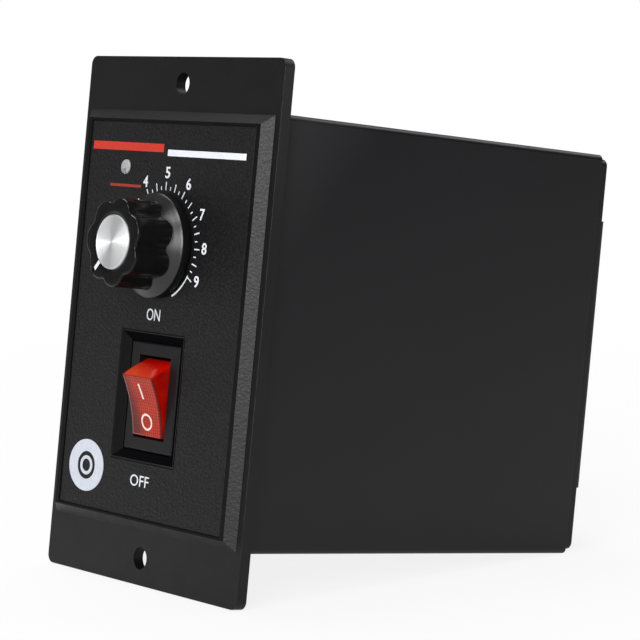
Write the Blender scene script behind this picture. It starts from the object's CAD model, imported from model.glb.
import math

import bmesh
import bpy
from mathutils import Matrix, Vector

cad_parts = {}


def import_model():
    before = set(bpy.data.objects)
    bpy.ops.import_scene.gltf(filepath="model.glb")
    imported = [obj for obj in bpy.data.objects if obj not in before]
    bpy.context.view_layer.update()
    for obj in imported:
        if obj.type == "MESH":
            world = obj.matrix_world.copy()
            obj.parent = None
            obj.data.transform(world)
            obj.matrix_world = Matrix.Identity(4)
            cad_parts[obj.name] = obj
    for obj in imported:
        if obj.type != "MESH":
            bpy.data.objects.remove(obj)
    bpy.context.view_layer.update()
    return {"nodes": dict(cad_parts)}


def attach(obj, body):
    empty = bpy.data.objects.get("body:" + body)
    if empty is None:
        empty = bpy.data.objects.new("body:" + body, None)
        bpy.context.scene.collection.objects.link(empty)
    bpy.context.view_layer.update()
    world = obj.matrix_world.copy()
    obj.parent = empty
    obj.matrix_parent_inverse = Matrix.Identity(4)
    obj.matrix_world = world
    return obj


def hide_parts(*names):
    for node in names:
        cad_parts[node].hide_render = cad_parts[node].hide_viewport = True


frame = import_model()
nodes = frame["nodes"]
collection = bpy.context.scene.collection
MM = 0.001

# Places and sizes in millimetres, in the part's frame. What the CAD has too is as in its source,
# but for the knob's lobes, draft and cone, the rocker's crown and the lamp's dome, which are
# refitted to the photograph, each within a millimetre.
LABEL_Y = -4.2
LAMP = (-14.7, 30.9)
LAMP_R, LAMP_RISE = 1.54, 0.5

# Knob: depths from the foot to the face, then radii
KNOB_Z = 15.3
POINTER = math.radians(-138)
FOOT_Y = -4.5
SKIRT_Y = -6.6
CONE_Y = SKIRT_Y - 0.06
GRIP_Y = -7.85
CAP_Y = -15.9
FRONT_Y = -16.35
SKIRT_R = 10.7
CONE_R, CONE_SLOPE = 10.6, 0.8
LOBES, LOBE_TOP, LOBE_CENTRE, FLUTE_R = 7, 9.12, 5.5, 8.0
FOOT_OUT, FOOT_UP = 0.12, 0.16
DRAFT = 0.05
KNOB_ROUND = 0.42
DISC_R, DISC_WELL_R = 5.5, 5.65

# Switch: half sizes of a box round the well, the rocker from its pivot, and the lighter line
# round its face
SWITCH_Z = -15.6
WELL_X, WELL_Z = 10.9, 13.5
PIVOT_Y = 0.15
TILT = math.radians(18)
ROCKER_R = 8.6
ROCKER_HALF = 5.15
ROCKER_FACE = 5.15
HOLLOW_R = 31.8
ROCKER_LEAN = math.radians(12)
ROCKER_BACK = 1.0
ROCKER_CROWN = 0.75
FACE_LINE = 0.2
FACE_LEFT, FACE_RIGHT = -4.72, 4.62

# Printing: how far it stands proud of what carries it and reaches into it, the dial's ticks as
# radii from and to and half their width, the size of its numbers, and the place of the plain rings
INK_PROUD, INK_SUNK = 0.03, 0.02
LONG_TICK, SHORT_TICK = (11.4, 13.05, 0.13), (11.45, 12.2, 0.12)
NUMBER_WIDE, ONE_WIDE, NUMBER_HIGH = 1.6, 0.85, 2.35
RINGS = (-19.3, -31.7)

# Camera and room. The floor's slope is its rise from the flange to the housing's rear edge; the
# point that the lights face is in metres, as their places are.
IMAGE_PX, FOCAL_PX, SENSOR_MM = 640, 2718.08, 36.0
FLOOR_Z, FLOOR_SLOPE, FLOOR_REACH = -54.02, 10.7 / 88.3, 2000.0
BACKDROP = (-0.77, 0.64, 0.0)
MIDDLE = Vector((0.0, 0.03, 0.0))
WHITE = (1.0, 1.0, 1.0)


# Materials
def colour(rgb):
    return (rgb[0], rgb[1], rgb[2], 1.0)


class Tree:
    """A node tree, with short calls to add and link nodes."""

    def __init__(self, owner):
        owner.use_nodes = True
        self.tree = owner.node_tree
        self.tree.nodes.clear()

    def add(self, kind, **values):
        node = self.tree.nodes.new(kind)
        for key, value in values.items():
            setattr(node, key, value)
        return node

    def link(self, a, out, b, into):
        self.tree.links.new(a.outputs[out], b.inputs[into])

    def math(self, kind, a, b=None, clamp=False):
        """A math node on numbers, or on pairs of a node and its output."""
        node = self.add("ShaderNodeMath", operation=kind, use_clamp=clamp)
        for index, value in enumerate((a, b)):
            if value is None:
                continue
            if isinstance(value, tuple):
                self.link(value[0], value[1], node, index)
            else:
                node.inputs[index].default_value = value
        return node

    def spread(self, source, out, start, stop, first=0.0, last=1.0):
        """Maps the range from start to stop to the one from first to last."""
        node = self.add("ShaderNodeMapRange")
        self.link(source, out, node, "Value")
        ends = {"From Min": start, "From Max": stop, "To Min": first, "To Max": last}
        for key, value in ends.items():
            node.inputs[key].default_value = value
        return node

    def glowing(self, kind, rgb, strength):
        """An emission or background node."""
        node = self.add(kind)
        node.inputs["Color"].default_value = colour(rgb)
        node.inputs["Strength"].default_value = strength
        return node

    def blend(self, share, first, second, out):
        """Mixes two shaders into the tree's output."""
        mix = self.add("ShaderNodeMixShader")
        for index, node in enumerate((share, first, second)):
            self.link(node, 0, mix, index)
        self.link(mix, 0, out, "Surface")

    def seen_rays(self):
        """Camera rays, and glossy or transmission rays: those that see the white background."""
        path = self.add("ShaderNodeLightPath")
        return path, self.math("ADD", (path, "Is Glossy Ray"), (path, "Is Transmission Ray"))


class Nodes(Tree):
    """A material with one shader, and the patterns that drive it."""

    def __init__(self, name):
        self.material = bpy.data.materials.new(name)
        super().__init__(self.material)
        self.shader = self.add("ShaderNodeBsdfPrincipled")
        self.link(self.shader, "BSDF", self.add("ShaderNodeOutputMaterial"), "Surface")
        self.place = self.add("ShaderNodeTexCoord")

    def parts(self):
        """The place on the piece as X, Y and Z."""
        node = self.add("ShaderNodeSeparateXYZ")
        self.link(self.place, "Object", node, "Vector")
        return node

    def noise(self, scale, detail, rough, stretch=None):
        node = self.add("ShaderNodeTexNoise")
        node.inputs["Scale"].default_value = scale
        node.inputs["Detail"].default_value = detail
        node.inputs["Roughness"].default_value = rough
        if stretch:
            mapping = self.add("ShaderNodeMapping")
            mapping.inputs["Scale"].default_value = stretch
            self.link(self.place, "Object", mapping, "Vector")
            self.link(mapping, "Vector", node, "Vector")
        else:
            self.link(self.place, "Object", node, "Vector")
        return node

    def ramp(self, source, out, stops):
        node = self.add("ShaderNodeValToRGB")
        ramp = node.color_ramp
        while len(ramp.elements) < len(stops):
            ramp.elements.new(0.5)
        for element, (place, value) in zip(ramp.elements, stops):
            element.position = place
            element.color = colour(value if hasattr(value, "__len__") else (value, value, value))
        self.link(source, out, node, "Fac")
        return node

    def toned(self, share, share_out, tone, out, rgb):
        """Mixes a plain tone into a colour by a share."""
        node = self.add("ShaderNodeMix", data_type="RGBA")
        self.link(share, share_out, node, "Factor")
        self.link(tone, out, node, "A")
        node.inputs["B"].default_value = colour(rgb)
        return node

    def bump(self, source, out, strength, depth, below=None):
        node = self.add("ShaderNodeBump")
        node.inputs["Strength"].default_value = strength
        node.inputs["Distance"].default_value = depth
        self.link(source, out, node, "Height")
        if below:
            self.link(below, "Normal", node, "Normal")
        return node

    def drive(self, source, out, into):
        self.link(source, out, self.shader, into)

    def constants(self, **values):
        for key, value in values.items():
            self.shader.inputs[key.replace("_", " ")].default_value = value

    def darker_left(self, parts, tone, out, rgb, start, stop, most, lean=0.0):
        """Mixes a dark tone in towards the left, from x at stop to x at start at the switch."""
        level = self.math("MULTIPLY", (parts, "Z"), lean)
        across = self.math("ADD", (parts, "X"), (level, 0))
        start, stop = ((x + lean * SWITCH_Z) * MM for x in (start, stop))
        side = self.spread(across, 0, start, stop, most, 0.0)
        return self.toned(side, "Result", tone, out, rgb)


def shade(rgb, factor):
    return tuple(min(1.0, c * factor) for c in rgb)


def surface(name, rgb, rough, vary=0.12, vary_scale=70.0, grain=0.25, grain_scale=2600.0,
            depth=0.00003, rough_vary=0.06, metallic=0.0, coat=0.0, specular=0.5, stretch=None):
    """Moulded, painted or plated surface: blotches of colour and roughness over a fine grain."""
    m = Nodes(name)
    blotch = m.noise(vary_scale, 4.0, 0.6, stretch)
    tint = m.ramp(blotch, "Fac", [(0.3, shade(rgb, 1 - vary)), (0.7, shade(rgb, 1 + vary))])
    m.drive(tint, "Color", "Base Color")
    wear = m.noise(vary_scale * 3.1, 3.0, 0.6, stretch)
    least, most = max(0.02, rough - rough_vary), min(1.0, rough + rough_vary)
    m.drive(m.ramp(wear, "Fac", [(0.3, least), (0.7, most)]), "Color", "Roughness")
    m.drive(m.bump(m.noise(grain_scale, 2.0, 0.5), "Fac", grain, depth), "Normal", "Normal")
    m.constants(Metallic=metallic, IOR=1.5, Specular_IOR_Level=specular)
    m.constants(Coat_Weight=coat, Coat_Roughness=0.1)
    return m


def fade_up(m, tone, low, high, lean=0.0):
    """Fades a surface's colour to another tone between two heights in millimetres; with a lean the
    heights rise towards the rear."""
    parts = m.parts()
    level = m.math("SUBTRACT", (parts, "Z"), (m.math("MULTIPLY", (parts, "Y"), lean), 0))
    rise = m.spread(level, 0, low * MM, high * MM)
    tint = m.shader.inputs["Base Color"].links[0].from_node
    m.drive(m.toned(rise, "Result", tint, "Color", tone), "Result", "Base Color")


def label_material():
    """Grained label sheet: pebbled like imitation leather, with a fine sparkle on the pebbles."""
    m = Nodes("label_grain")
    cells = m.add("ShaderNodeTexVoronoi", feature="SMOOTH_F1")
    cells.inputs["Scale"].default_value = 2000.0
    warped = m.add("ShaderNodeMix", data_type="VECTOR")
    warped.inputs["Factor"].default_value = 0.0009
    m.link(m.place, "Object", warped, "A")
    m.link(m.noise(900.0, 2.0, 0.5), "Color", warped, "B")
    m.link(warped, "Result", cells, "Vector")
    pebble, gap = (0.0098, 0.0094, 0.0103), (0.0026, 0.0024, 0.0028)
    m.drive(m.ramp(cells, "Distance", [(0.05, pebble), (0.55, gap)]), "Color", "Base Color")
    patch = m.noise(1900.0, 3.0, 0.7)
    m.drive(m.ramp(patch, "Fac", [(0.35, 0.42), (0.7, 0.62)]), "Color", "Roughness")
    coarse = m.bump(cells, "Distance", 0.55, 0.00016)
    m.drive(m.bump(patch, "Fac", 0.4, 0.0001, coarse), "Normal", "Normal")
    m.constants(IOR=1.5, Specular_IOR_Level=0.28)
    return m


def spun_material():
    """Spun aluminium: turned rings about the knob's axis, and a sheen that runs across them."""
    m = Nodes("spun_aluminium_face")
    parts = m.parts()
    across = m.math("MULTIPLY", (parts, "X"), (parts, "X"))
    upward = m.math("POWER", (m.math("SUBTRACT", (parts, "Z"), KNOB_Z * MM), 0), 2.0)
    radius = m.math("SQRT", (m.math("ADD", (across, 0), (upward, 0)), 0))
    ring_pitch = 0.00016
    rings = m.math("SINE", (m.math("MULTIPLY", (radius, 0), 2 * math.pi / ring_pitch), 0))
    uneven = m.add("ShaderNodeTexNoise", noise_dimensions="1D")
    uneven.inputs["Scale"].default_value = 9000.0
    uneven.inputs["Detail"].default_value = 4.0
    m.link(radius, 0, uneven, "W")
    turned = m.math("ADD", (rings, 0), (m.math("MULTIPLY", (uneven, "Fac"), 3.0), 0))
    m.drive(m.bump(turned, 0, 0.12, 0.00001), "Normal", "Normal")
    tone = m.ramp(uneven, "Fac", [(0.3, (0.86, 0.86, 0.87)), (0.7, (0.97, 0.97, 0.97))])
    m.drive(tone, "Color", "Base Color")
    m.drive(m.ramp(uneven, "Fac", [(0.3, 0.55), (0.7, 0.63)]), "Color", "Roughness")
    m.drive(m.add("ShaderNodeTangent", direction_type="RADIAL", axis="Y"), "Tangent", "Tangent")
    m.constants(Metallic=1.0, Anisotropic=0.8, Anisotropic_Rotation=0.25)
    return m


def lens_material(name, deep, warm, glow, lattice_tone=None, far_tone=None, specular=0.18):
    """Red rocker lens: clear coloured plastic, darker where it is thick."""
    m = Nodes(name)
    body = m.ramp(m.noise(240.0, 2.0, 0.5), "Fac", [(0.3, deep), (0.72, warm)])
    tone, out = body, "Color"
    if lattice_tone:
        # The face has a lattice moulded behind it, and the lens is thicker along its left edge
        parts = m.parts()
        bar_pitch, row_pitch = 0.00071, 0.0006
        bars = m.math("SINE", (m.math("MULTIPLY", (parts, "X"), 2 * math.pi / bar_pitch), 0))
        rows = m.math("SINE", (m.math("MULTIPLY", (parts, "Z"), 2 * math.pi / row_pitch), 0))
        lattice = m.math("ADD", (bars, 0), (m.math("MULTIPLY", (rows, 0), 0.6), 0))
        mask = m.ramp(lattice, 0, [(0.0, 0.0), (0.9, 0.85)])
        grid = m.toned(mask, "Color", body, "Color", lattice_tone)
        tone = m.darker_left(parts, grid, "Result", (0.06, 0.013, 0.011), -4.6, -1.6, 0.92, 0.2)
        out = "Result"
        m.drive(m.bump(lattice, 0, 0.12, 0.00002), "Normal", "Normal")
    else:
        m.drive(m.bump(m.noise(420.0, 2.0, 0.5), "Fac", 0.1, 0.0001), "Normal", "Normal")
    if far_tone:
        # The end is lit from its front edge, and falls off towards the back and the right
        parts = m.parts()
        depth = m.math("ADD", (parts, "Y"), (m.math("MULTIPLY", (parts, "X"), 0.28), 0))
        back = m.spread(depth, 0, -0.0074, -0.0042)
        across = m.toned(back, "Result", body, "Color", far_tone)
        tone = m.darker_left(parts, across, "Result", (0.1, 0.006, 0.004), -5.1, -3.9, 0.8)
        out = "Result"
    m.drive(tone, out, "Base Color")
    m.drive(tone, out, "Emission Color")
    haze = m.noise(700.0, 2.0, 0.5)
    m.drive(m.ramp(haze, "Fac", [(0.3, 0.19), (0.7, 0.29)]), "Color", "Roughness")
    m.constants(Emission_Strength=glow, Specular_IOR_Level=specular, IOR=1.49)
    return m


def clear_material(name, rgb, rough, weight, bars=()):
    """Clear or milky plastic or glass; bars are dark uprights seen through it, each given by its x,
    half its width and its top."""
    m = Nodes(name)
    cloud = m.noise(900.0, 2.0, 0.5)
    tone, out = m.ramp(cloud, "Fac", [(0.3, shade(rgb, 0.93)), (0.7, rgb)]), "Color"
    if bars:
        parts = m.parts()
        dark = None
        for x, half, top in bars:
            across = m.math("COMPARE", (parts, "X"), x * MM)
            across.inputs[2].default_value = half * MM
            bar = m.math("MULTIPLY", (across, 0), (m.math("LESS_THAN", (parts, "Z"), top * MM), 0))
            dark = m.math("MAXIMUM", (dark, 0), (bar, 0)) if dark else bar
        tone, out = m.toned(dark, 0, tone, out, shade(rgb, 0.22)), "Result"
    m.drive(tone, out, "Base Color")
    m.drive(m.ramp(cloud, "Fac", [(0.3, rough), (0.7, rough + 0.06)]), "Color", "Roughness")
    m.constants(Transmission_Weight=weight, IOR=1.5)
    return m


def ink(name, rgb):
    return surface(name, rgb, 0.5, vary=0.05, vary_scale=900.0, grain=0.2, grain_scale=3000.0,
                   depth=0.00002)


panel_plastic = surface("panel_plastic_satin", (0.0042, 0.0042, 0.0047), 0.42, vary=0.1, grain=0.4,
                        grain_scale=3200.0, depth=0.00004, specular=0.28)
housing_plastic = surface("housing_plastic_satin", (0.006, 0.0053, 0.0064), 0.36, vary=0.07,
                          vary_scale=28.0, grain=0.1, grain_scale=2400.0, rough_vary=0.018,
                          specular=0.28)
fade_up(housing_plastic, (0.0182, 0.0172, 0.0186), 8.0, 34.0, 1.3)
cover_plastic = surface("cover_plastic_satin", (0.0045, 0.0045, 0.005), 0.45, grain=0.3,
                        specular=0.3)
knob_plastic = surface("knob_plastic_polished", (0.0049, 0.0048, 0.0052), 0.2, vary=0.2,
                       vary_scale=300.0, grain=0.04, grain_scale=1500.0, depth=0.00002,
                       rough_vary=0.04, specular=0.2)
rim_plastic = surface("knob_plastic_rim", (0.0022, 0.0022, 0.0025), 0.5, vary=0.15,
                      vary_scale=300.0, grain=0.1, grain_scale=1800.0, depth=0.00002,
                      rough_vary=0.04, specular=0.16)
switch_plastic = surface("switch_plastic_satin", (0.0054, 0.0054, 0.0059), 0.42, grain=0.35,
                         grain_scale=3000.0, specular=0.27)
block_plastic = surface("block_plastic_satin", (0.012, 0.012, 0.013), 0.38, grain=0.15)
bright_steel = surface("zinc_plate", (0.62, 0.63, 0.65), 0.28, vary=0.12, vary_scale=400.0,
                       grain=0.12, grain_scale=1800.0, depth=0.00002, metallic=1.0)
dark_steel = surface("blackened_steel", (0.055, 0.055, 0.06), 0.36, vary=0.2, vary_scale=300.0,
                     grain=0.15, metallic=0.9)
lead_frame = surface("tarnished_lead_frame", (0.03, 0.022, 0.027), 0.6, vary=0.2, vary_scale=300.0,
                     grain=0.15, specular=0.1)
brass = surface("turned_brass", (0.72, 0.5, 0.2), 0.3, vary=0.1, vary_scale=350.0, grain=0.1,
                metallic=1.0)
nylon = surface("white_nylon", (0.72, 0.7, 0.63), 0.5, vary=0.05, vary_scale=200.0, grain=0.1)
black_nylon = surface("black_nylon_moulded", (0.011, 0.011, 0.012), 0.45, grain=0.1)
phenolic = surface("phenolic_sheet", (0.23, 0.1, 0.035), 0.45, vary=0.2, vary_scale=500.0,
                   grain=0.1, stretch=(1.0, 1.0, 4.0))
laminate = surface("green_laminate", (0.02, 0.13, 0.05), 0.35, vary=0.15, vary_scale=260.0,
                   grain=0.15, coat=0.3)
insulation = surface("lead_insulation_red", (0.42, 0.03, 0.025), 0.4, vary=0.1, vary_scale=200.0,
                     grain=0.1)
sink_metal = surface("extruded_aluminium", (0.55, 0.56, 0.58), 0.38, vary=0.1, vary_scale=500.0,
                     grain=0.15, metallic=1.0, stretch=(1.0, 0.1, 1.0))
epoxy = surface("black_epoxy", (0.015, 0.015, 0.016), 0.5, grain=0.3)
sleeve = surface("blue_sleeve", (0.02, 0.045, 0.12), 0.25, vary=0.1, grain=0.05)
film_case = surface("yellow_film_case", (0.6, 0.4, 0.05), 0.3, vary=0.08, grain=0.05)
resistor_coat = surface("lacquered_resistor", (0.52, 0.4, 0.22), 0.35, vary=0.12, vary_scale=900.0,
                        grain=0.1)
panel_grained = surface("panel_plastic_grained", (0.0042, 0.0042, 0.0046), 0.42, vary=0.45,
                        vary_scale=1300.0, grain=0.7, grain_scale=1700.0, depth=0.0001,
                        rough_vary=0.1, specular=0.3)
well_plastic = surface("panel_plastic_shaded", (0.0033, 0.0031, 0.0036), 0.5, vary=0.15, grain=0.3,
                       grain_scale=2600.0, specular=0.0)
well_side = surface("panel_plastic_dim", (0.0026, 0.0024, 0.0027), 0.45, vary=0.3, vary_scale=900.0,
                    grain=0.7, grain_scale=1700.0, depth=0.00008, specular=0.12)
pad_rim = surface("panel_plastic_dull", (0.0034, 0.0034, 0.0038), 0.5, vary=0.15, grain=0.35,
                  grain_scale=2600.0, specular=0.09)
cone_plastic = surface("knob_plastic_satin", (0.003, 0.003, 0.0034), 0.3, vary=0.15,
                       vary_scale=300.0, grain=0.1, grain_scale=1800.0, depth=0.00002,
                       rough_vary=0.04, specular=0.54)
flange_side = surface("panel_plastic_side", (0.0042, 0.0042, 0.0046), 0.42, vary=0.1, grain=0.4,
                      grain_scale=3200.0, depth=0.00004, specular=0.28)
fade_up(flange_side, (0.0185, 0.0174, 0.0184), 15.0, 54.0)
flange_line = surface("panel_plastic_edge", (0.0048, 0.0048, 0.0052), 0.42, vary=0.4,
                      vary_scale=900.0, grain=0.4, specular=0.28)
fade_up(flange_line, (0.11, 0.107, 0.112), -50.0, -25.0)
label_grain = label_material()
spun = spun_material()
lens_face = lens_material("red_lens_face", (0.35, 0.018, 0.004), (0.45, 0.032, 0.008), 0.08,
                          lattice_tone=(0.085, 0.003, 0.0015))
lens_side = lens_material("red_lens_side", (0.2, 0.0016, 0.0006), (0.34, 0.004, 0.0008), 0.12)
lens_end = lens_material("red_lens_end", (0.38, 0.025, 0.006), (0.47, 0.05, 0.013), 0.24,
                         far_tone=(0.34, 0.0025, 0.0006), specular=0.1)
lens_rim = surface("red_lens_rim", (0.11, 0.008, 0.006), 0.4, vary=0.15, vary_scale=500.0,
                   grain=0.05, specular=0.07)
lens_edge = surface("red_lens_edge", (0.25, 0.05, 0.04), 0.3, vary=0.15, vary_scale=500.0,
                    grain=0.05, specular=0.4)
lamp_bars = ((LAMP[0] - 0.33, 0.2, LAMP[1] - 0.45), (LAMP[0] + 0.4, 0.17, LAMP[1] - 0.3))
lamp_lens = clear_material("clear_lamp_lens", (0.5, 0.49, 0.51), 0.2, 0.3, lamp_bars)
neon_glass = clear_material("neon_glass_tube", (0.95, 0.6, 0.35), 0.05, 0.7)
fuse_glass = clear_material("fuse_glass_tube", (0.86, 0.9, 0.9), 0.04, 0.6)
white_ink = ink("white_ink", (0.7, 0.715, 0.76))
red_ink = ink("red_ink", (0.5, 0.028, 0.012))
dull_red_ink = ink("dull_red_ink", (0.3, 0.024, 0.014))
grey_ink = ink("grey_blue_ink", (0.55, 0.58, 0.65))
mark_ink = ink("rocker_mark_ink", (0.86, 0.62, 0.6))


# Geometry
def linked(name, data):
    obj = bpy.data.objects.new(name, data)
    collection.objects.link(obj)
    return obj


def shaded(mesh, angle):
    """Smooth shading, with edges sharper than an angle in degrees kept sharp."""
    mesh.polygons.foreach_set("use_smooth", [True] * len(mesh.polygons))
    mesh.set_sharp_from_angle(angle=math.radians(angle))
    mesh.update()


def only_finish(mesh, material):
    """Gives all faces of a mesh one material."""
    mesh.materials.clear()
    mesh.materials.append(material.material)


def shown_mesh(obj):
    """The mesh that an object shows, with its modifiers worked out."""
    bpy.context.view_layer.update()
    depsgraph = bpy.context.evaluated_depsgraph_get()
    return bpy.data.meshes.new_from_object(obj.evaluated_get(depsgraph))


def baked(obj):
    """Puts the mesh that an object shows in the place of its own."""
    made = shown_mesh(obj)
    obj.modifiers.clear()
    obj.data = made
    made.name = obj.name
    return made


def place(obj, body, slot, replaced=()):
    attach(obj, body)
    if replaced:
        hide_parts(*replaced)
    return obj


def closed_mesh(name, shape, indices=None):
    """A mesh from points in millimetres and their faces, with its normals turned outwards."""
    verts, faces = shape
    mesh = bpy.data.meshes.new(name)
    mesh.from_pydata([[c * MM for c in v] for v in verts], [], faces)
    if indices:
        mesh.polygons.foreach_set("material_index", indices)
    work = bmesh.new()
    work.from_mesh(mesh)
    bmesh.ops.remove_doubles(work, verts=work.verts, dist=1e-7)
    bmesh.ops.recalc_face_normals(work, faces=work.faces)
    work.to_mesh(mesh)
    work.free()
    return mesh


def solid(name, shape, materials, body, slot, angle, replaced=(), indices=None):
    """A piece made of a closed mesh."""
    mesh = closed_mesh(name, shape, indices)
    for material in materials:
        mesh.materials.append(material.material)
    shaded(mesh, angle)
    return place(linked(name, mesh), body, slot, replaced)


def skin(loops):
    """Faces between loops of equal length, each loop closed on itself; the ends are capped."""
    count = len(loops[0])
    verts = [p for loop in loops for p in loop]
    faces = []
    for k in range(len(loops) - 1):
        for i in range(count):
            j = (i + 1) % count
            faces.append((k * count + i, k * count + j, (k + 1) * count + j, (k + 1) * count + i))
    faces.append(tuple(range(count))[::-1])
    faces.append(tuple((len(loops) - 1) * count + i for i in range(count)))
    return verts, faces


def plates(outlines, front, back):
    """Flat plates between two depths, each from an outline of x and z points."""
    verts, faces = [], []
    for points in outlines:
        n, base = len(points), len(verts)
        verts += [(x, y, z) for y in (front, back) for x, z in points]
        faces += [tuple(range(base, base + n)), tuple(range(base + 2 * n - 1, base + n - 1, -1))]
        for i in range(base, base + n):
            j = base + (i - base + 1) % n
            faces.append((i, i + n, j + n, j))
    return verts, faces


def band(outer, inner, at):
    """A painted band between two outlines; at gives the point for x, z and a lift off what
    carries the paint."""
    n = len(outer)
    verts = [at(x, z, lift) for lift in (INK_PROUD, -INK_SUNK) for x, z in outer + inner]
    faces = []
    for i in range(n):
        j = (i + 1) % n
        faces += [(i, j, n + j, n + i), (2 * n + i, 3 * n + i, 3 * n + j, 2 * n + j),
                  (i, 2 * n + i, 2 * n + j, j), (n + i, n + j, 3 * n + j, 3 * n + i)]
    return verts, faces


def oval(cx, cz, rx, rz, count=48):
    turns = [2 * math.pi * i / count for i in range(count)]
    return [(cx + rx * math.cos(a), cz + rz * math.sin(a)) for a in turns]


def softened(node, name, body, slot, material, width, segments=2):
    """A copy of a CAD node with its sharp edges rounded over, so that they catch the light."""
    mesh = nodes[node].data.copy()
    mesh.materials.clear()
    work = bmesh.new()
    work.from_mesh(mesh)
    bmesh.ops.remove_doubles(work, verts=work.verts, dist=1e-6)
    bmesh.ops.dissolve_limit(work, angle_limit=math.radians(0.4), verts=work.verts,
                             edges=work.edges, use_dissolve_boundaries=False)
    work.to_mesh(mesh)
    work.free()
    mesh.polygons.foreach_set("use_smooth", [True] * len(mesh.polygons))
    obj = linked(name, mesh)
    bevel = obj.modifiers.new("rounded_edges", "BEVEL")
    bevel.width = width * MM
    bevel.segments = segments
    bevel.limit_method = "ANGLE"
    bevel.angle_limit = math.radians(28.0)
    weigh = obj.modifiers.new("even_normals", "WEIGHTED_NORMAL")
    weigh.mode = "FACE_AREA"
    weigh.weight = 100
    weigh.keep_sharp = False
    only_finish(baked(obj), material)
    return place(obj, body, slot, (node,))


def repaint(obj, material, test):
    """Gives one more material to the faces whose centre in millimetres and normal pass a test."""
    obj.data.materials.append(material.material)
    index = len(obj.data.materials) - 1
    for face in obj.data.polygons:
        if test(face.center / MM, face.normal):
            face.material_index = index


# Housing, panel and cover
def in_well(c, n):
    """On the walls of the switch's well, by a face's centre and normal."""
    return abs(c.x) < WELL_X and abs(c.z - SWITCH_Z) < WELL_Z and c.y > -4.15 and abs(n.y) < 0.97


panel = softened("front_panel", "panel_moulding", "case", "panel_plastic", panel_plastic, 0.3, 3)
# Side chamfers of the pad, right side of the flange, and the lit edge in front of that side
repaint(panel, panel_grained,
        lambda c, n: 29.7 < abs(c.x) < 31.6 and -4.36 < c.y < -2.38 and abs(n.x) > 0.5)
repaint(panel, flange_side, lambda c, n: abs(c.x) > 32.3 and -2.4 < c.y and n.x > 0.9)
repaint(panel, flange_line,
        lambda c, n: c.x > 32.6 and c.y < -2.0 and 0.5 < n.x < 0.87 and n.y < 0 and abs(c.z) < 52)
# Rim of the pad round the label, and the walls of the well, the left one apart
repaint(panel, pad_rim, lambda c, n: c.y < -4.2 and abs(c.x) < 29.99 and abs(c.z) < 41.5)
repaint(panel, well_plastic, lambda c, n: in_well(c, n) and n.x < 0.2)
repaint(panel, well_side, lambda c, n: in_well(c, n) and n.x >= 0.2)
softened("front_label", "label_sheet", "case", "label_sheet", label_grain, 0.08)
softened("housing", "housing_shell", "case", "housing_plastic", housing_plastic, 0.3, 3)
softened("rear_cover", "cover_moulding", "case", "cover_plastic", cover_plastic, 0.3, 3)
bezel = softened("switch_body", "switch_frame", "case", "switch_plastic", switch_plastic, 0.12)
# Right side of the bezel
repaint(bezel, well_side, lambda c, n: c.x > 7.9 and n.x > 0.1 and c.y < -2.7)
softened("cover_screws", "cover_screw_set", "case", "dark_steel", dark_steel, 0.12)
softened("terminal_block", "block_moulding", "case", "block_plastic", block_plastic, 0.15)
softened("terminal_screws", "terminal_screw_set", "case", "bright_steel", bright_steel, 0.1)

# Knob
KNOB_STEPS = 56 * LOBES
KNOB_TURNS = [2 * math.pi * i / KNOB_STEPS for i in range(KNOB_STEPS)]
GRIP, CONE, RIM = range(3)


def around_knob(r, angle, y):
    """A point at radius r and at an angle clockwise from the top, as seen from the front."""
    return (r * math.sin(angle), y, KNOB_Z + r * math.cos(angle))


def spoke(angle, r0, r1, half):
    """Outline of a bar that points away from the knob's axis."""
    return [(r * math.sin(angle) + s * half * math.cos(angle),
             KNOB_Z + r * math.cos(angle) - s * half * math.sin(angle))
            for r, s in ((r0, -1), (r1, -1), (r1, 1), (r0, 1))]


def grip_radius(angle):
    """Radius of the lobed outline at an angle from the pointer's lobe, of lobe and flute arcs."""
    period = 2 * math.pi / LOBES
    half = period / 2
    phi = abs((angle + half) % period - half)
    sunk = LOBE_TOP - FLUTE_R - LOBE_CENTRE
    flute_centre = (LOBE_CENTRE ** 2 - sunk ** 2) / (2 * (sunk + LOBE_CENTRE * math.cos(half)))
    lobe_arc = LOBE_TOP - LOBE_CENTRE
    flute_arc = flute_centre - FLUTE_R
    share = lobe_arc / (lobe_arc + flute_arc)
    meet = math.atan2(share * flute_centre * math.sin(half),
                      LOBE_CENTRE + share * (flute_centre * math.cos(half) - LOBE_CENTRE))
    if phi < meet:
        side = LOBE_CENTRE * math.sin(phi)
        return LOBE_CENTRE * math.cos(phi) + math.sqrt(lobe_arc ** 2 - side ** 2)
    side = flute_centre * math.sin(half - phi)
    return flute_centre * math.cos(half - phi) - math.sqrt(flute_arc ** 2 - side ** 2)


def knob_ring(r, y):
    return [around_knob(r, POINTER + a, y) for a in KNOB_TURNS]


def grip_ring(y, inset=0.0):
    """The lobed outline at a depth, with the draft that it has there."""
    draft = DRAFT * (GRIP_Y - y) / (GRIP_Y - FRONT_Y)
    return [around_knob(grip_radius(a) - draft - inset, POINTER + a, y) for a in KNOB_TURNS]


def cone_y(r):
    return CONE_Y - CONE_SLOPE * (CONE_R - r)


def between(first, last, share):
    """A loop at a share of the way from one to another."""
    return [tuple(a + (b - a) * share for a, b in zip(p, q)) for p, q in zip(first, last)]


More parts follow.
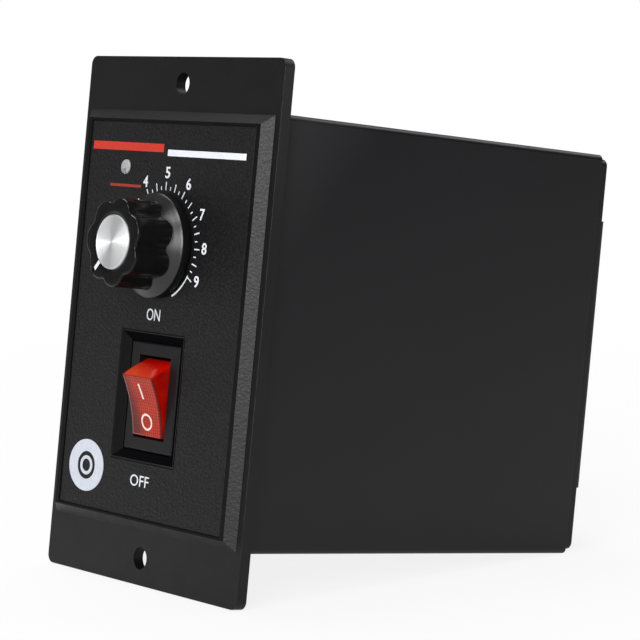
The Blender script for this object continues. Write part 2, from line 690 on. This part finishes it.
def knob_grip():
    """Lobed grip on its cone and skirt, open towards the panel and hollowed for the disc."""
    bore = [(0.3, -15.25), (4.45, -15.25), (4.45, -9.55), (6.37, -9.55), (6.37, -5.7), (9.0, -5.7),
            (9.0, FOOT_Y)]
    rim = [(10.5, FOOT_Y), (10.64, -4.56), (SKIRT_R, -4.7), (SKIRT_R, SKIRT_Y + 0.12),
           (10.67, SKIRT_Y + 0.03)]
    rim_first = len(bore) - 1
    cone_first = rim_first + len(rim)
    cone = [CONE_R + (LOBE_TOP + 0.2 - CONE_R) * k / 4 for k in range(5)]
    loops = [knob_ring(r, y) for r, y in bore + rim + [(r, cone_y(r)) for r in cone]]

    # The cone runs on into the flutes, and a small hollow leads up into the grip's wall
    radii = [grip_radius(a) + FOOT_OUT for a in KNOB_TURNS]
    foot = [around_knob(r, POINTER + a, cone_y(r)) for r, a in zip(radii, KNOB_TURNS)]
    loops.append(foot)
    cone_last = len(loops) - 1
    wall = grip_ring(GRIP_Y)
    for share in (0.35, 0.75):
        eased = between(foot, wall, 1 - (1 - share) ** 2)
        loops.append([(q[0], p[1] - FOOT_OUT * share, q[2]) for p, q in zip(foot, eased)])
    base = [(q[0], p[1] - FOOT_UP, q[2]) for p, q in zip(foot, wall)]
    loops.append(base)

    # Wall, rounded edge, face and the step down to the disc
    top = grip_ring(FRONT_Y + KNOB_ROUND)
    loops += [between(base, top, k / 11) for k in range(1, 12)]
    for k in range(1, 8):
        turn = math.radians(90 * k / 7)
        y = FRONT_Y + KNOB_ROUND * (1 - math.sin(turn))
        loops.append(grip_ring(y, KNOB_ROUND * (1 - math.cos(turn))))
    flat = grip_ring(FRONT_Y, KNOB_ROUND)
    loops += [between(flat, knob_ring(6.1, FRONT_Y), share) for share in (0.35, 0.7, 1.0)]
    step = [(6.04, FRONT_Y + 0.015), (5.8, FRONT_Y + 0.17), (DISC_WELL_R, FRONT_Y + 0.2),
            (DISC_WELL_R, CAP_Y), (0.3, CAP_Y)]
    loops += [knob_ring(r, y) for r, y in step]

    indices = []
    for k in range(len(loops) - 1):
        outside = CONE if k >= cone_first else RIM
        indices += [outside if rim_first <= k < cone_last else GRIP] * KNOB_STEPS
    finishes = [knob_plastic, cone_plastic, rim_plastic]
    return solid("knob_grip", skin(loops), finishes, "speed_control", "knob_bakelite", 30.0,
                 ("knob",), indices + [GRIP, GRIP])


def knob_disc():
    """Turned disc in the face, with a fine step near its rim."""
    profile = [(0.02, CAP_Y), (DISC_R, CAP_Y), (DISC_R, -16.3), (5.47, -16.38), (5.4, -16.44),
               (5.3, -16.47), (5.16, -16.47), (5.1, -16.43), (5.02, -16.42), (3.4, -16.43),
               (1.7, -16.432), (0.02, -16.434)]
    shape = skin([knob_ring(r, y) for r, y in profile])
    solid("knob_disc", shape, [spun], "speed_control", "spun_aluminium", 25.0, ("knob_cap",))


def pointer(grip):
    """Painted groove of the pointer, open through the edge of its lobe."""
    groove = plates([spoke(POINTER, 5.72, 10.0, 0.44)], FRONT_Y - 1.0, FRONT_Y + 0.25)
    mesh = closed_mesh("groove_cutter", groove)
    cutter = linked("groove_cutter", mesh)
    cut = grip.modifiers.new("groove", "BOOLEAN")
    cut.operation = "DIFFERENCE"
    cut.solver = "EXACT"
    cut.object = cutter
    shaded(baked(grip), 30.0)
    bpy.data.objects.remove(cutter)
    bpy.data.meshes.remove(mesh)
    paint = plates([spoke(POINTER, 5.74, 7.75, 0.41)], FRONT_Y + 0.01, FRONT_Y + 0.26)
    solid("pointer_paint", paint, [white_ink], "speed_control", "knob_bakelite", 50.0)


grip = knob_grip()
knob_disc()
pointer(grip)


# Indicator lamp
def lamp_pieces():
    """Clear dome with the frame of its chip inside."""
    x0, z0 = LAMP
    profile = [(0.02, -0.85), (1.9, -0.85), (1.9, -1.85), (LAMP_R, -1.85), (LAMP_R, LABEL_Y)]
    for k in range(1, 13):
        turn = math.radians(90 * k / 13)
        profile.append((LAMP_R * math.cos(turn), LABEL_Y - LAMP_RISE * math.sin(turn)))
    profile.append((0.02, LABEL_Y - LAMP_RISE))
    loops = [[(x, y, z) for x, z in oval(x0, z0, r, r)] for r, y in profile]
    solid("lamp_dome", skin(loops), [lamp_lens], "case", "clear_lens", 40.0, ("lamp",))
    cup = [(-0.55, -1.25), (-0.12, -1.25), (-0.12, -0.5), (-0.25, -0.3), (-0.55, -0.4)]
    post = [(0.22, -1.25), (0.55, -1.25), (0.55, -0.5), (0.4, -0.2), (0.22, -0.3)]
    for name, points in (("lamp_cup", cup), ("lamp_post", post)):
        shape = plates([[(x0 + x, z0 + z) for x, z in points]], -4.41, -3.9)
        solid(name, shape, [lead_frame], "case", "dark_steel", 30.0)


lamp_pieces()

# Rocker lens, with a lighter rounded edge round its hollow face, and its two marks
LENS_FACE, LENS_SIDE, LENS_EDGE, LENS_END, LENS_RIM = range(5)


def rocker_point(x, y, z):
    """From the rocker's own frame, level at its middle, to the part's frame."""
    return (x, PIVOT_Y + y * math.cos(TILT) - z * math.sin(TILT),
            SWITCH_Z + y * math.sin(TILT) + z * math.cos(TILT))


def face_y(z):
    """Depth of the hollow face at a height, level at its middle."""
    return -ROCKER_FACE - HOLLOW_R + math.sqrt(HOLLOW_R ** 2 - z ** 2)


def inset(outline, distance):
    """A closed outline moved inwards."""
    made = []
    for i, b in enumerate(outline):
        a, c = outline[i - 1], outline[(i + 1) % len(outline)]
        n1 = Vector((b[1] - a[1], a[0] - b[0])).normalized()
        n2 = Vector((c[1] - b[1], b[0] - c[0])).normalized()
        n = (n1 + n2).normalized()
        reach = distance / max(0.4, n.dot(n1))
        made.append((b[0] + n.x * reach, b[1] + n.y * reach))
    return made


def rocker_lens():
    # The hollow meets the circle of radius ROCKER_R at the face's upper and lower edge
    far = ROCKER_FACE + HOLLOW_R
    end_y = -(ROCKER_R ** 2 + far ** 2 - HOLLOW_R ** 2) / (2 * far)
    end_z = math.sqrt(ROCKER_R ** 2 - end_y ** 2)
    rows, steps = 26, 12
    heights = [(end_z - FACE_LINE) * (2 * i / rows - 1) for i in range(rows + 1)]
    heights = [-end_z] + heights + [end_z]
    front = len(heights) - 1

    def outline(swell):
        """Face, and ends that lean outwards from its edge to the back and swell on their way."""
        back = []
        for t in (i / steps for i in range(1, steps + 1)):
            y = end_y + (ROCKER_BACK - end_y) * t
            rise = (ROCKER_BACK - end_y) * math.tan(ROCKER_LEAN) * t
            back.append((y, end_z + rise + swell * ROCKER_CROWN * math.sin(math.pi * t ** 0.8)))
        return [(face_y(z), z) for z in heights] + back + [(y, -z) for y, z in reversed(back)]

    # Places across the rocker, and how far its outline draws in there
    levels = [(-ROCKER_HALF, 0.24), (-5.09, 0.07), (-4.93, 0.0), (FACE_LEFT, 0.0), (-4.2, 0.0),
              (-3.4, 0.0), (-2.4, 0.0), (-1.2, 0.0), (0.0, 0.0), (1.2, 0.0), (2.4, 0.0), (3.4, 0.0),
              (4.2, 0.0), (FACE_RIGHT, 0.0), (4.93, 0.0), (5.09, 0.07), (ROCKER_HALF, 0.24)]
    loops = [[rocker_point(x, y, z) for y, z in inset(outline(1.0 - (x / ROCKER_HALF) ** 4), d)]
             for x, d in levels]
    indices = []
    for (x0, _), (x1, _) in zip(levels, levels[1:]):
        middle = (x0 + x1) / 2
        for i in range(len(loops[0])):
            if i < front and (i == front - 1 or middle > FACE_RIGHT):
                indices.append(LENS_RIM)
            elif i < front:
                indices.append(LENS_FACE if middle > FACE_LEFT and i > 0 else LENS_EDGE)
            else:
                indices.append(LENS_END if i < front + steps and abs(middle) < 5.09 else LENS_SIDE)
    finishes = [lens_face, lens_side, lens_edge, lens_end, lens_rim]
    solid("rocker_lens", skin(loops), finishes, "power_rocker", "red_lens", 32.0, ("rocker",),
          indices + [LENS_SIDE, LENS_SIDE])


def rocker_mark(name, outer, inner):
    shape = band(outer, inner, lambda x, z, lift: rocker_point(x, face_y(z) - lift, z))
    solid(name, shape, [mark_ink], "power_rocker", "red_lens", 50.0)


def rocker_marks():
    """O as a ring, and I as a band round a sliver at its own middle."""
    rocker_mark("rocker_off_mark", oval(0.15, -3.5, 1.84, 1.76), oval(0.15, -3.5, 1.4, 1.33))
    bar = [(-0.1, 4.6), (-0.62, 4.6), (-0.18, 1.3), (0.34, 1.3)]
    x0, z0 = -0.14, 2.95
    outer = [(a[0] + (b[0] - a[0]) * k / 6, a[1] + (b[1] - a[1]) * k / 6)
             for a, b in zip(bar, bar[1:] + bar[:1]) for k in range(6)]
    inner = [(x0 + (x - x0) * 0.1, z0 + (z - z0) * 0.8) for x, z in outer]
    rocker_mark("rocker_on_mark", outer, inner)


rocker_lens()
rocker_marks()


# Printing on the label
def ink_plates(name, outlines, material, proud=INK_PROUD):
    """Flat printed shapes, each an outline of x and z points, a little proud of the label."""
    shape = plates(outlines, LABEL_Y - proud, LABEL_Y + INK_SUNK)
    solid(name, shape, [material], "case", "label_sheet", 50.0)


def ink_bar(name, x0, x1, z0, z1, material):
    ink_plates(name, [[(x0, z0), (x1, z0), (x1, z1), (x0, z1)]], material)


def ink_ring(name, outer, inner):
    """A ring from its outer and inner half sizes."""
    outer, inner = (oval(*RINGS, *half, 72) for half in (outer, inner))
    shape = band(outer, inner, lambda x, z, lift: (x, LABEL_Y - lift, z))
    solid(name, shape, [grey_ink], "case", "label_sheet", 50.0)


def dial():
    """Ticks at every quarter from 1 to 9, longer at the halves, and the band past their end."""
    angles = [math.radians((1 + step / 4 - 5) * 30) for step in range(33)]
    ticks = [spoke(a, *(SHORT_TICK if step % 2 else LONG_TICK)) for step, a in enumerate(angles)]
    ink_plates("dial_ticks", ticks, white_ink)

    # The band starts at 118.6 degrees, draws in a little and widens on its way
    steps = 24
    shares = [k / steps for k in range(steps + 1)]
    arc = []
    for side, share in [(1, s) for s in shares] + [(-1, 1 - s) for s in shares]:
        a = math.radians(118.6 + 33.4 * share)
        r = 11.31 - 0.2 * share + side * (0.15 + 0.05 * share)
        arc.append((r * math.sin(a), KNOB_Z + r * math.cos(a)))
    ink_plates("dial_arc", [arc], white_ink, 0.026)


def glyphs(name, text, cx, cz, wide, high, weight):
    """Raised white characters fitted to a box on the label."""
    curve = bpy.data.curves.new(name + "_outline", "FONT")
    curve.body = text
    curve.size = 1.0
    curve.extrude = 0.01
    curve.offset = weight
    curve.resolution_u = 4
    held = linked(name + "_outline", curve)
    mesh = shown_mesh(held)
    bpy.data.objects.remove(held)
    bpy.data.curves.remove(curve)
    xs, ys, zs = ([v.co[axis] for v in mesh.vertices] for axis in range(3))
    sx = wide / (max(xs) - min(xs))
    sy = high / (max(ys) - min(ys))
    middle = sum(zs) / len(zs)
    for v in mesh.vertices:
        x = (v.co.x - (max(xs) + min(xs)) / 2) * sx + cx
        z = (v.co.y - (max(ys) + min(ys)) / 2) * sy + cz
        lift = INK_PROUD if v.co.z > middle else -INK_SUNK
        v.co = (x * MM, (LABEL_Y - lift) * MM, z * MM)
    only_finish(mesh, white_ink)
    mesh.name = name
    shaded(mesh, 40.0)
    place(linked(name, mesh), "case", "label_sheet")


dial()
numbers = {1: (-12.9, 8.9), 2: (-14.6, 15.5), 3: (-12.9, 22.3), 4: (-7.2, 28.2), 5: (0.2, 30.25),
           6: (7.6, 28.2), 7: (12.95, 22.3), 8: (14.6, 15.6), 9: (13.0, 8.9)}
for number, (x, z) in numbers.items():
    wide = ONE_WIDE if number == 1 else NUMBER_WIDE
    glyphs("dial_number_%d" % number, str(number), x, z, wide, NUMBER_HIGH, 0.018)
glyphs("legend_on", "ON", -0.4, 1.25, 4.6, 2.4, 0.0)
glyphs("legend_off", "OFF", -0.1, -32.7, 6.4, 2.3, 0.0)
ink_bar("title_bar_red", -26.9, -1.9, 34.3, 36.0, red_ink)
ink_bar("title_bar_white", -0.4, 25.6, 33.6, 34.9, white_ink)
ink_bar("lamp_line_red", -19.6, -8.7, 26.8, 27.35, dull_red_ink)
ink_ring("plain_ring_outer", (6.2, 5.4), (3.1, 2.9))
ink_ring("plain_ring_inner", (2.2, 2.0), (1.4, 1.3))

# Finishes of the CAD nodes that are shown as they are
finishes = {
    "panel_screws": bright_steel, "knob_insert": brass, "knob_set_screw": dark_steel,
    "pot_shaft": bright_steel, "pot_circlip": dark_steel, "pot_bush": bright_steel,
    "pot_nut": bright_steel, "pot_washer": bright_steel, "pot_wafer": phenolic,
    "pot_terminals": bright_steel, "pot_can": bright_steel, "pot_wiper": nylon,
    "lamp_legs": bright_steel, "lamp_collar": black_nylon, "neon_lamp": neon_glass,
    "plunger": nylon, "plunger_spring": bright_steel, "contact_blade": brass,
    "switch_terminals": brass, "circuit_board": laminate, "lead_socket": nylon, "leads": insulation,
    "terminal_contacts": brass, "heat_sink": sink_metal, "thyristors": epoxy,
    "thyristor_screws": bright_steel, "bridge_rectifier": epoxy, "reservoir_capacitor": sleeve,
    "film_capacitor": film_case, "fuse": fuse_glass, "fuse_clips": brass, "control_chip": epoxy,
    "resistors": resistor_coat,
}
for node, material in finishes.items():
    only_finish(nodes[node].data, material)

# Camera at the photograph's place
camera_data = bpy.data.cameras.new("camera")
camera_data.sensor_width = SENSOR_MM
camera_data.lens = FOCAL_PX / IMAGE_PX * SENSOR_MM
camera_data.clip_start = 0.01
camera_data.clip_end = 50.0
camera = linked("camera", camera_data)
camera.matrix_world = Matrix((
    (0.632525, -0.08022, 0.770374, 0.4463051),
    (0.76912, -0.052407, -0.636952, -0.3297203),
    (0.091469, 0.995399, 0.02855, 0.019057),
    (0.0, 0.0, 0.0, 1.0)))
bpy.context.scene.camera = camera


# Room
def floor_piece():
    """Plain white floor, which touches the flange's lower edge and the housing's rear one. Mirrors
    see it dimmed, and it is a little darker near the object."""
    sides = (-FLOOR_REACH, FLOOR_REACH)
    corners = [(x * MM, y * MM, (FLOOR_Z + FLOOR_SLOPE * y) * MM) for y in sides for x in sides]
    mesh = bpy.data.meshes.new("floor")
    mesh.from_pydata(corners, [], [(0, 1, 3, 2)])
    floor = linked("floor", mesh)
    material = bpy.data.materials.new("white_floor")
    t = Tree(material)
    out = t.add("ShaderNodeOutputMaterial")
    path, others = t.seen_rays()
    mirrored = t.math("MULTIPLY", (others, 0), 0.45)
    seen = t.math("ADD", (mirrored, 0), (path, "Is Camera Ray"), clamp=True)
    reach = t.add("ShaderNodeVectorMath", operation="LENGTH")
    t.link(t.add("ShaderNodeTexCoord"), "Object", reach, 0)
    near = t.spread(reach, "Value", 0.12, 0.5, 0.86, 1.0)
    dull = t.add("ShaderNodeBsdfDiffuse")
    dull.inputs["Color"].default_value = (0.8, 0.8, 0.8, 1.0)
    glow = t.glowing("ShaderNodeEmission", WHITE, 1.0)
    t.blend(t.math("MULTIPLY", (seen, 0), (near, "Result")), dull, glow, out)
    mesh.materials.append(material)


def world():
    """White for the camera. Glossy and transmission rays see the white low down and towards the
    backdrop, and elsewhere the darker room, which lights the object."""
    studio = bpy.data.worlds.new("studio")
    t = Tree(studio)
    out = t.add("ShaderNodeOutputWorld")
    path, others = t.seen_rays()
    place = t.add("ShaderNodeTexCoord")
    parts = t.add("ShaderNodeSeparateXYZ")
    t.link(place, "Generated", parts, 0)
    height = t.spread(parts, "Z", 0.02, 0.34, 1.0, 0.12)
    across = t.add("ShaderNodeVectorMath", operation="DOT_PRODUCT")
    across.inputs[1].default_value = BACKDROP
    t.link(place, "Generated", across, 0)
    sweep = t.spread(across, "Value", 0.38, 0.85, 0.1, 1.0)
    backdrop = t.math("MULTIPLY", (height, "Result"), (sweep, "Result"))
    mirrored = t.math("MULTIPLY", (others, 0), (backdrop, 0))
    seen = t.math("ADD", (mirrored, 0), (path, "Is Camera Ray"), clamp=True)
    room = t.glowing("ShaderNodeBackground", (0.92, 0.96, 1.0), 0.12)
    t.blend(seen, room, t.glowing("ShaderNodeBackground", WHITE, 1.0), out)
    bpy.context.scene.world = studio


def soft_light(name, at, size, energy):
    """An area light that faces the middle of the object."""
    data = bpy.data.lights.new(name, "AREA")
    data.shape = "RECTANGLE"
    data.size, data.size_y = size
    data.energy = energy
    obj = linked(name, data)
    obj.location = at
    obj.rotation_euler = (MIDDLE - Vector(at)).to_track_quat("-Z", "Y").to_euler()


floor_piece()
world()
soft_light("soft_front_right", (0.62, -0.8, 0.25), (0.55, 0.5), 9.5)
soft_light("soft_top", (-0.4, 0.05, 0.95), (0.6, 0.6), 6.5)
soft_light("soft_front_high", (0.15, -0.7, 0.75), (0.35, 0.35), 3.5)
soft_light("soft_rear_high", (0.1, 0.8, 0.85), (0.7, 0.35), 2.5)

bpy.context.scene.view_settings.view_transform = "Standard"
